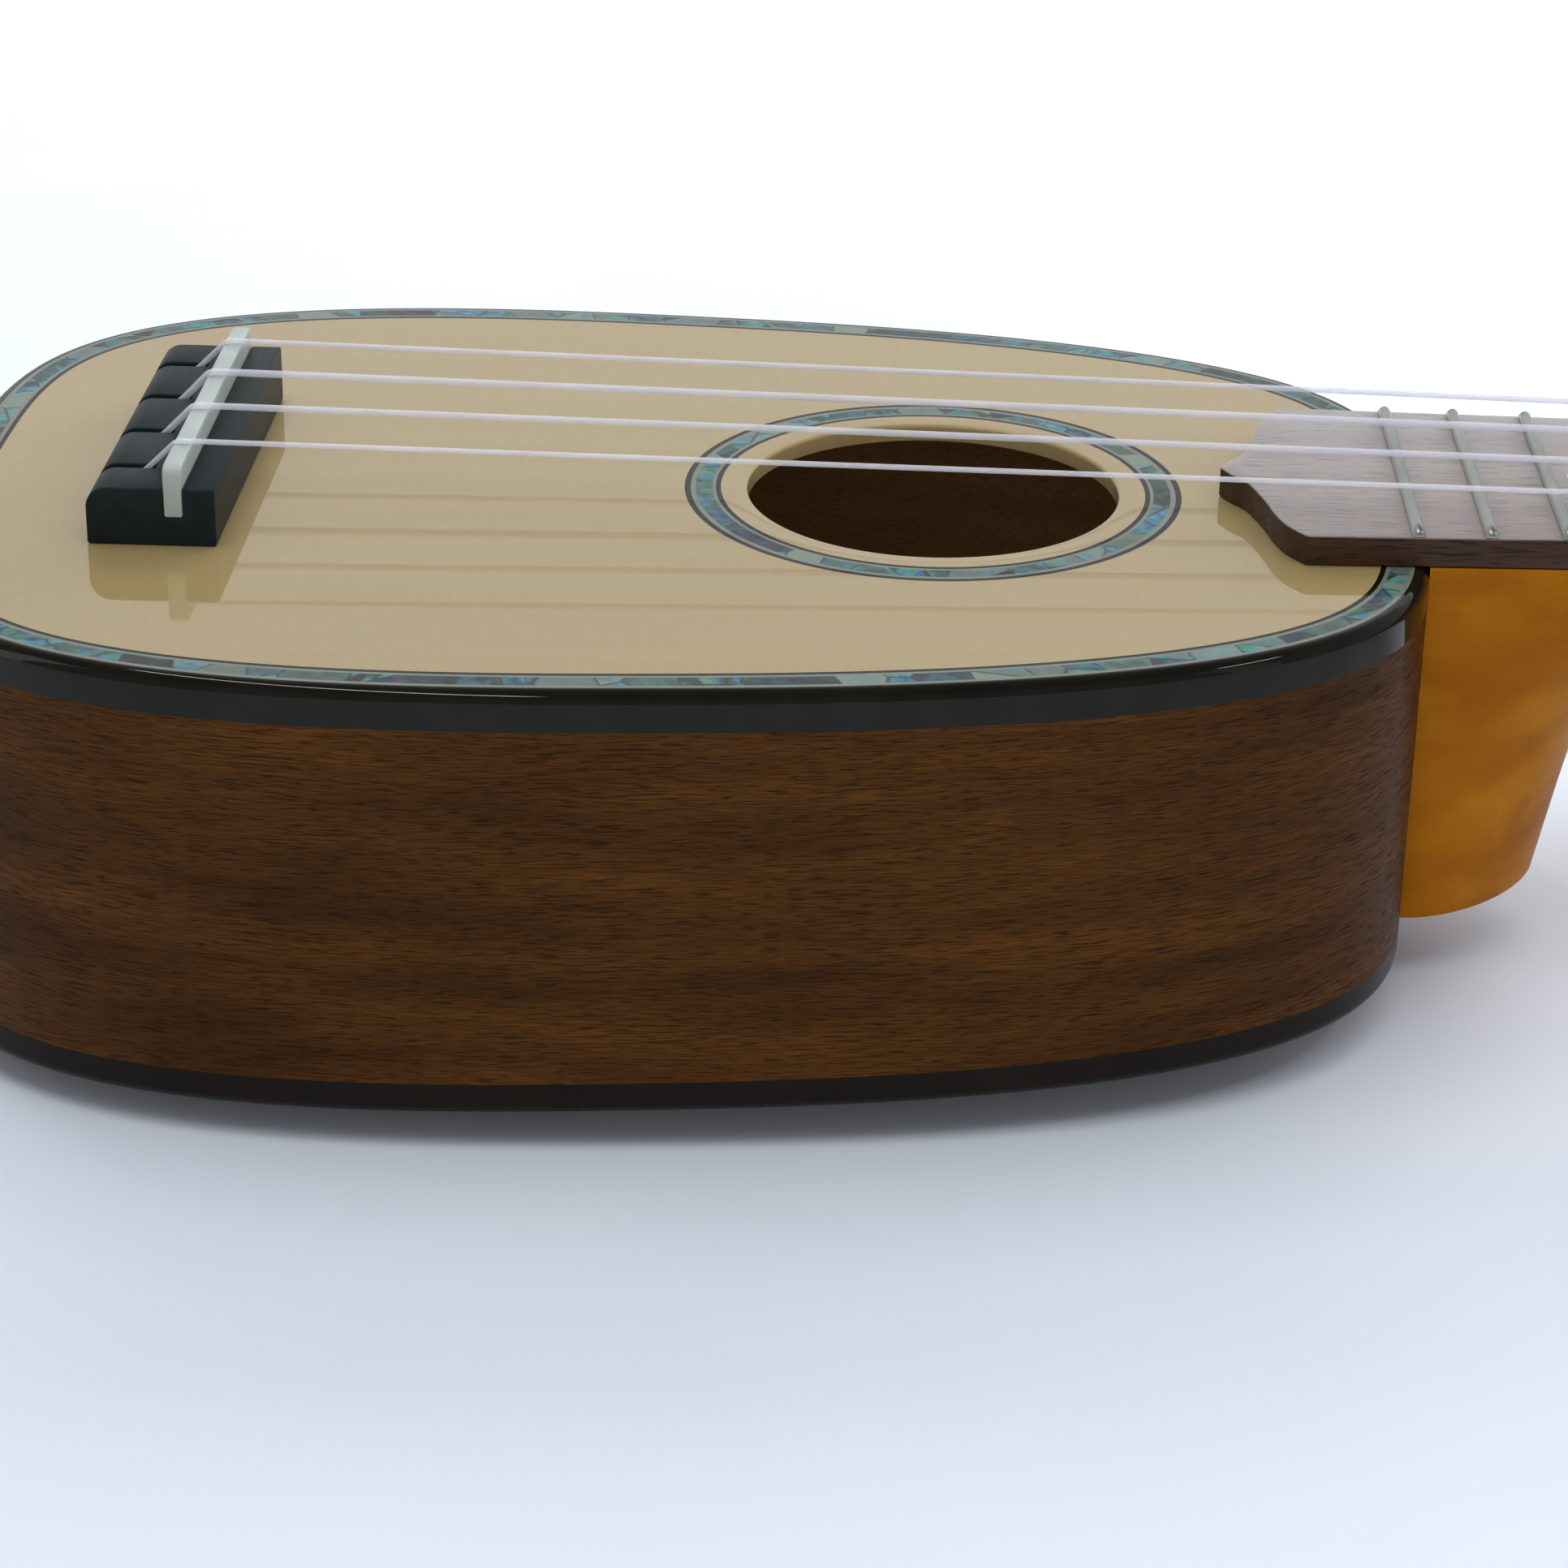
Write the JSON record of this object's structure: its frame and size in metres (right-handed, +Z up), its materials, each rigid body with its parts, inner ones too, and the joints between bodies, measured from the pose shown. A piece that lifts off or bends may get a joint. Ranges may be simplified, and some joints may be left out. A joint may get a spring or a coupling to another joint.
{
  "type": "sopranino ukulele",
  "caption": "Small oval-bodied ukulele lying on its back: spruce top with shell purfling and rosette, fretted neck with heel, nylon strings, open-geared tuners",
  "frame": {"origin": "middle of the bounding box in plan, at the lowest point of the arched back", "axes": "+X along the strings to the headstock, +Y to the bass side, +Z up, out of the soundboard"},
  "size_m": [0.425, 0.1292, 0.0655],
  "materials": {
    "spruce": "high gloss lacquer",
    "mahogany": "satin",
    "lining_wood": "bare",
    "amber_mahogany": "satin",
    "ebony": "satin",
    "rosewood": "bare, oiled",
    "black_binding": "gloss",
    "shell": "polished abalone shell",
    "bone": "satin",
    "nylon": "translucent",
    "fret_metal": "polished nickel silver",
    "nickel": "nickel plate",
    "brass": "cut gear",
    "pearl_plastic": "pearl"
  },
  "bodies": {
    "instrument": {"soundboard": "spruce", "back": "mahogany", "side_bass": "mahogany", "side_treble": "mahogany", "top_lining": "lining_wood", "back_lining": "lining_wood", "neck_block": "lining_wood", "tail_block": "lining_wood", "bridge_plate": "lining_wood", "upper_top_brace": "spruce", "lower_top_brace": "spruce", "upper_back_brace": "spruce", "lower_back_brace": "spruce", "top_binding": "black_binding", "back_binding": "black_binding", "shell_purfling": "shell", "shell_rosette": "shell", "bridge": "ebony", "saddle": "bone", "neck": "amber_mahogany", "fretboard": "rosewood", "nut": "bone", "headstock_veneer": "rosewood", "fret_01": "fret_metal", "fret_02": "fret_metal", "fret_03": "fret_metal", "fret_04": "fret_metal", "fret_05": "fret_metal", "fret_06": "fret_metal", "fret_07": "fret_metal", "fret_08": "fret_metal", "fret_09": "fret_metal", "fret_10": "fret_metal", "fret_11": "fret_metal", "fret_12": "fret_metal", "string_1": "nylon", "tuner_plate_1": "nickel", "string_2": "nylon", "tuner_plate_2": "nickel", "string_3": "nylon", "tuner_plate_3": "nickel", "string_4": "nylon", "tuner_plate_4": "nickel"},
    "tuner_shaft_1": {"worm_shaft_1": "nickel", "button_1": "pearl_plastic"},
    "tuner_post_1": {"string_post_1": "nickel", "gear_1": "brass"},
    "tuner_shaft_2": {"worm_shaft_2": "nickel", "button_2": "pearl_plastic"},
    "tuner_post_2": {"string_post_2": "nickel", "gear_2": "brass"},
    "tuner_shaft_3": {"worm_shaft_3": "nickel", "button_3": "pearl_plastic"},
    "tuner_post_3": {"string_post_3": "nickel", "gear_3": "brass"},
    "tuner_shaft_4": {"worm_shaft_4": "nickel", "button_4": "pearl_plastic"},
    "tuner_post_4": {"string_post_4": "nickel", "gear_4": "brass"}
  },
  "joints": [
    {"name": "shaft_turn_1", "type": "hinge", "parent": "instrument", "child": "tuner_shaft_1", "pos_m": [0.14192, -0.0145, 0.03286], "axis": [0, 1, 0], "continuous": true},
    {"name": "post_turn_1", "type": "hinge", "parent": "instrument", "child": "tuner_post_1", "pos_m": [0.13836, -0.0145, 0.04783], "axis": [0.2079, 0, 0.9781], "continuous": true},
    {"name": "shaft_turn_2", "type": "hinge", "parent": "instrument", "child": "tuner_shaft_2", "pos_m": [0.18301, -0.0145, 0.02413], "axis": [0, 1, 0], "continuous": true},
    {"name": "post_turn_2", "type": "hinge", "parent": "instrument", "child": "tuner_post_2", "pos_m": [0.17944, -0.0145, 0.0391], "axis": [0.2079, 0, 0.9781], "continuous": true},
    {"name": "shaft_turn_3", "type": "hinge", "parent": "instrument", "child": "tuner_shaft_3", "pos_m": [0.18301, 0.0145, 0.02413], "axis": [0, 1, 0], "continuous": true},
    {"name": "post_turn_3", "type": "hinge", "parent": "instrument", "child": "tuner_post_3", "pos_m": [0.17944, 0.0145, 0.0391], "axis": [0.2079, 0, 0.9781], "continuous": true},
    {"name": "shaft_turn_4", "type": "hinge", "parent": "instrument", "child": "tuner_shaft_4", "pos_m": [0.14192, 0.0145, 0.03286], "axis": [0, 1, 0], "continuous": true},
    {"name": "post_turn_4", "type": "hinge", "parent": "instrument", "child": "tuner_post_4", "pos_m": [0.13836, 0.0145, 0.04783], "axis": [0.2079, 0, 0.9781], "continuous": true}
  ],
  "couplings": [
    {"joint": "post_turn_1", "follows": "shaft_turn_1", "ratio": -0.071429},
    {"joint": "post_turn_2", "follows": "shaft_turn_2", "ratio": -0.071429},
    {"joint": "post_turn_3", "follows": "shaft_turn_3", "ratio": -0.071429},
    {"joint": "post_turn_4", "follows": "shaft_turn_4", "ratio": -0.071429}
  ]
}
